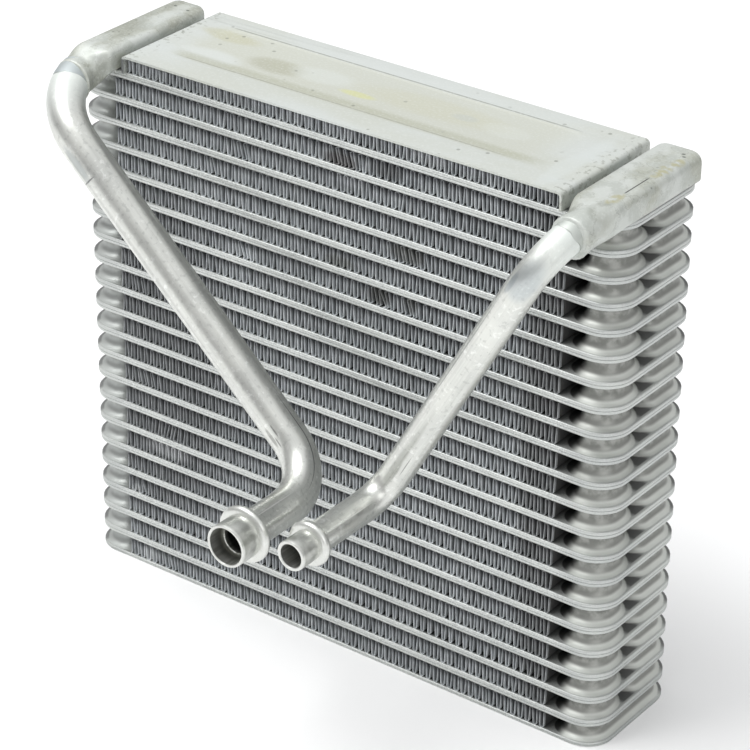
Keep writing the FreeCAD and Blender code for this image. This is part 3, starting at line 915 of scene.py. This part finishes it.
# Header ducts: two stamped halves brazed to a flat duct on the top tube, drawn in to a round neck
# that takes the pipe. Pale with flux stains, and dark and yellowish along the liquid side's seam.
# The liquid neck's lower side carries painted shade, and the ducts' feet a painted shadow.

HEADERS = {
    "suction": {
        "width": 17.5,
        "height": 9.5,
        "middle": -118.2,
        "corner": 2.6,
        "neck": (0.3, 1.0),
        "shift": 0.6,
        "shoulder": (2.5, 10.0),
    },
    "liquid": {
        "width": 20.5,
        "height": 11.0,
        "middle": 123.2,
        "corner": 3.6,
        "neck": (1.5, 1.9),
        "shift": 0.9,
        "shoulder": (1.0, 14.0),
    },
}
DUCT_LOW_CORNER = 1.2
DUCT_END_ROUND = 1.8
DUCT_END_STEPS = 4
DUCT_FRONT = 3.0
DUCT_STEPS = 18
CORNER_POINTS = 7
NEARLY_ROUND = 0.98
NECK_LIP = [
    # how far past the neck's end, how much smaller
    (0.4, 0.15),
    (0.7, 0.45),
    (0.9, 1.2),
]
# Dark spots on the necks; the one on the liquid neck's lower side, at 128 along, is painted shade with
# mottling.
STAINED_AND_SHADED = [((128, -38), (4, 7)), ((118, -44), (4, 3)), ((-112, -37), (2, 5))]
RESIDUE = [((128.4, -29), (2.6, 6)), ((129, 2), (3, 8)), ((130, 12), (2.4, 4))]
PINHOLES = [(128.9, 17.9), (127.5, 20), (-113.5, 20), (-121, 21)]

flux = Finish("fluxed_header_aluminium", 0.3, 0.5, (0.6, 0.62, 0.58))
along, across, height = (flux.axis(index) for index in range(3))
patches = flux.noise(42, detail=5, stretch=(1.2, 0.6, 1))
fine = flux.noise(900, detail=3)
islands = flux.noise(120, detail=6)
dark_side = 1 - 0.6 * along.ease(-20.0, 20.0)
tone = flux.mix(patches.ease(0.42, 0.58), (0.58, 0.605, 0.575), (0.44, 0.455, 0.395))
tone = flux.mix(islands.ease(0.5, 0.58) * 0.7, tone, (0.45, 0.475, 0.44))
tone = flux.mix(patches.ease(0.48, 0.62) * dark_side * 0.8, tone, (0.32, 0.33, 0.285))
veins = islands.near(0.5, 0.0, 0.016) * patches.ease(0.38, 0.5)
tone = flux.mix(veins * 0.4, tone, (0.2, 0.21, 0.185))
for middle, size in STAINED_AND_SHADED:
    shaded = flux.spot(along, across, middle, size) * (0.5 + 0.5 * islands.ease(0.4, 0.6))
    tone = flux.mix(shaded * 0.55, tone, (0.25, 0.26, 0.22))
tone = flux.mix(fine.ease(0.45, 0.8) * 0.4, tone, (0.66, 0.69, 0.66))
specks = flux.cells(230.0).fade(0.08, 0.16) * patches.ease(0.48, 0.56)
tone = flux.mix(specks * 0.7, tone, (0.16, 0.17, 0.15))
for middle, size in RESIDUE:
    residue = flux.spot(along, across, middle, size) * flux.noise(320, detail=3).ease(0.4, 0.6)
    tone = flux.mix(residue * 0.75, tone, (0.42, 0.4, 0.24))
slit = along.near(128.6, 0.12, 0.4) * height.ease(240.0, 241.0)
slit = slit * across.between(-23.5, -21.5, -8.0, -5.0)
tone = flux.mix(slit * 0.95, tone, (0.03, 0.03, 0.03))
for middle in PINHOLES:
    tone = flux.mix(flux.spot(along, across, middle, (0.9, 0.7)) * 0.8, tone, (0.1, 0.11, 0.1))
# A painted shadow along the ducts' lowest millimetre, where they sit on the top tube.
foot = height.fade(233.0, 233.9) * across.ease(-30.0, -28.5)
flux.set("Base Color", flux.mix(foot * 0.85, tone, (0.06, 0.06, 0.06)))
flux.set("Roughness", 0.4 + 0.25 * patches)
flux.bump(patches * 3 + fine, 0.0002)


def duct_ring(bm, place, half_width, half_height, corner, low_corner):
    """A rounded rectangle across the duct: a ring with a quarter of a circle in each corner."""
    verts = bmesh.ops.create_circle(bm, segments=4 * CORNER_POINTS, radius=1)["verts"]
    quarters = [(1, 1, corner), (-1, 1, corner), (-1, -1, low_corner), (1, -1, low_corner)]
    for index, vert in enumerate(verts):
        quarter, step = divmod(index, CORNER_POINTS)
        right, high, radius = quarters[quarter]
        angle = math.pi / 2 * (quarter + step / (CORNER_POINTS - 1))
        side = right * (half_width - radius) + radius * math.cos(angle)
        rise = high * (half_height - radius) + radius * math.sin(angle)
        vert.co = place + Vector((side, 0, rise))
    return ring_edges(verts)


def header_piece(kind):
    """One duct with a rounded rear end, and a shoulder that draws it in to the round neck."""
    run = Run(kind)
    sizes = HEADERS[kind]
    rear = node_box(f"{kind}_header")[1].y
    half_width, half_height = sizes["width"] / 2, sizes["height"] / 2
    shelf = node_box("top_end_plate")[0].z
    middle = Vector((sizes["middle"], rear, shelf + half_height))
    bm = bmesh.new()
    rings = []
    for step in range(DUCT_END_STEPS + 1):
        angle = math.pi / 2 * step / DUCT_END_STEPS
        width = half_width - DUCT_END_ROUND * (1 - math.sin(angle))
        place = middle + run.forward * DUCT_END_ROUND * (1 - math.cos(angle))
        rings.append(duct_ring(bm, place, width, half_height, sizes["corner"], DUCT_LOW_CORNER))
    away = Vector((middle.x - run.origin.x, 0, middle.z - run.origin.z))
    shift = Vector((0.5, 0, -0.5)) * sizes["shift"]
    first, last = sizes["shoulder"]
    fit, flare = sizes["neck"]
    for step in range(DUCT_STEPS + 1):
        distance = -DUCT_FRONT + (run.mouth + DUCT_FRONT) * step / DUCT_STEPS
        share = min(1, max(0, (distance - first) / (last - first)))
        ease = share * share * (3 - 2 * share)
        swell = max(0, (distance - last) / (run.mouth - last)) ** 2
        neck = run.sizes["radius"] + fit + (flare - fit) * swell
        place = run.at(distance)[0] + away * (1 - ease) + shift * ease
        width = half_width + (neck - half_width) * ease
        tall = half_height + (neck - half_height) * ease
        round_to = min(width, tall) * NEARLY_ROUND
        corner = sizes["corner"] + (round_to - sizes["corner"]) * ease
        low_corner = DUCT_LOW_CORNER + (round_to - DUCT_LOW_CORNER) * ease
        rings.append(duct_ring(bm, place, width, tall, corner, low_corner))
    for forward, smaller in NECK_LIP:
        tight = neck - smaller
        lip = place + run.forward * forward
        rings.append(duct_ring(bm, lip, tight, tight, tight * NEARLY_ROUND, tight * NEARLY_ROUND))
    return skin(bm, rings)


for kind in HEADERS:
    add_piece(f"{kind}_duct", header_piece(kind), flux, f"{kind}_header")


# Floor: a wide pale sheet under the core, no part of it. A faint glow of its own keeps it as white
# as the paper in the photograph.

FLOOR_SIZE = 12.0

paper = Finish("studio_floor", 0.0, 0.9, (0.9, 0.9, 0.9))
paper.set("Emission Color", (1.0, 1.0, 1.0))
paper.set("Emission Strength", 0.07)
bm = bmesh.new()
bmesh.ops.create_grid(bm, x_segments=1, y_segments=1, size=FLOOR_SIZE / 2)
floor_mesh = bpy.data.meshes.new("floor")
bm.to_mesh(floor_mesh)
bm.free()
floor_mesh.materials.append(paper.material)
floor = bpy.data.objects.new("floor", floor_mesh)
bpy.context.scene.collection.objects.link(floor)
